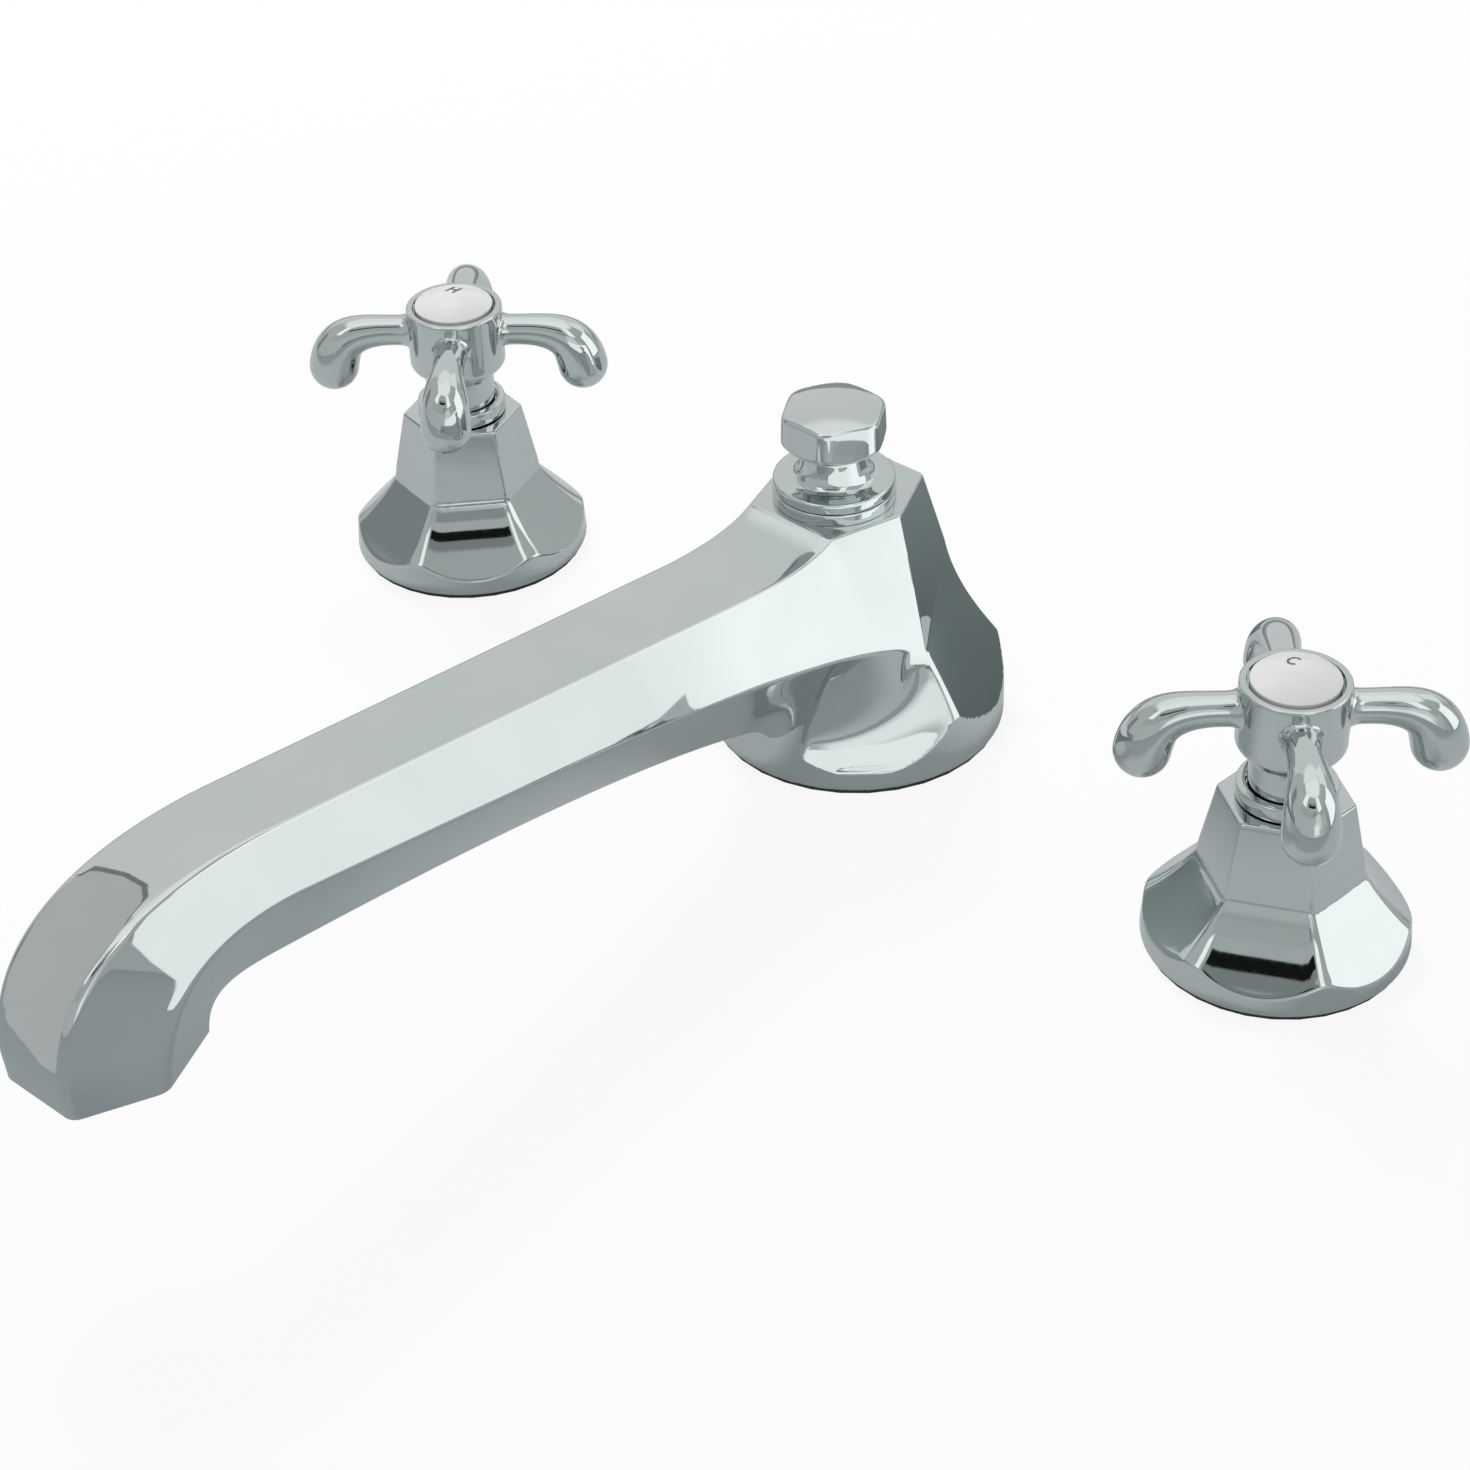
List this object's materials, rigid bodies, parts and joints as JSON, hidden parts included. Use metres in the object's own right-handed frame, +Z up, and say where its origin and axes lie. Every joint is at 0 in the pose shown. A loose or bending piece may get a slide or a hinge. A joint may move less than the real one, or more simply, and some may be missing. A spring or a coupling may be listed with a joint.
{
  "type": "roman tub faucet",
  "caption": "Deck-mounted roman tub faucet: six-sided low-arc spout with a lift knob, between hot and cold valves with cross handles on six-sided bells.",
  "frame": {"origin": "centre of the spout's base on the deck surface", "axes": "+Z up from the deck, -Y along the spout towards the tub, +X towards the cold valve"},
  "size_m": [0.3045, 0.2721, 0.1809],
  "materials": {
    "chrome": "polished chrome plate on cast brass",
    "brass": "machined, unplated",
    "steel": "stamped stainless steel",
    "rubber": "matte black",
    "porcelain": "white glazed porcelain",
    "ceramic": "ground alumina",
    "plastic": "moulded acetal"
  },
  "bodies": {
    "root": {"spout_body": "chrome", "spout_gasket": "rubber", "spout_shank": "brass", "spout_rubber_washer": "rubber", "spout_steel_washer": "steel", "spout_locknut": "brass", "flow_straightener": "plastic", "lift_collar": "chrome", "collar_ring": "rubber", "hot_bell": "chrome", "hot_dress_ring": "chrome", "hot_bell_gasket": "rubber", "hot_valve_body": "brass", "hot_flange_nut": "brass", "hot_rubber_washer": "rubber", "hot_steel_washer": "steel", "hot_locknut": "brass", "hot_cartridge_housing": "brass", "hot_seat_seal": "rubber", "hot_fixed_disc": "ceramic", "cold_bell": "chrome", "cold_dress_ring": "chrome", "cold_bell_gasket": "rubber", "cold_valve_body": "brass", "cold_flange_nut": "brass", "cold_rubber_washer": "rubber", "cold_steel_washer": "steel", "cold_locknut": "brass", "cold_cartridge_housing": "brass", "cold_seat_seal": "rubber", "cold_fixed_disc": "ceramic"},
    "hot_turn": {"hot_handle": "chrome", "hot_handle_screw": "steel", "hot_button": "porcelain", "hot_stem": "brass", "hot_stem_ring": "rubber", "hot_moving_disc": "ceramic"},
    "cold_turn": {"cold_handle": "chrome", "cold_handle_screw": "steel", "cold_button": "porcelain", "cold_stem": "brass", "cold_stem_ring": "rubber", "cold_moving_disc": "ceramic"},
    "lift": {"lift_knob": "chrome", "lift_rod": "brass", "diverter_plug": "brass", "diverter_seal": "rubber"}
  },
  "joints": [
    {"name": "hot_handle_turn", "type": "hinge", "parent": "root", "child": "hot_turn", "pos_m": [-0.1229, -0.006, 0.06], "axis": [0, 0, 1], "range_deg": [0, 90]},
    {"name": "cold_handle_turn", "type": "hinge", "parent": "root", "child": "cold_turn", "pos_m": [0.1229, -0.006, 0.06], "axis": [0, 0, 1], "range_deg": [-90, 0]},
    {"name": "diverter_lift", "type": "slide", "parent": "root", "child": "lift", "axis": [0, 0, 1], "range_m": [0, 0.009]}
  ]
}
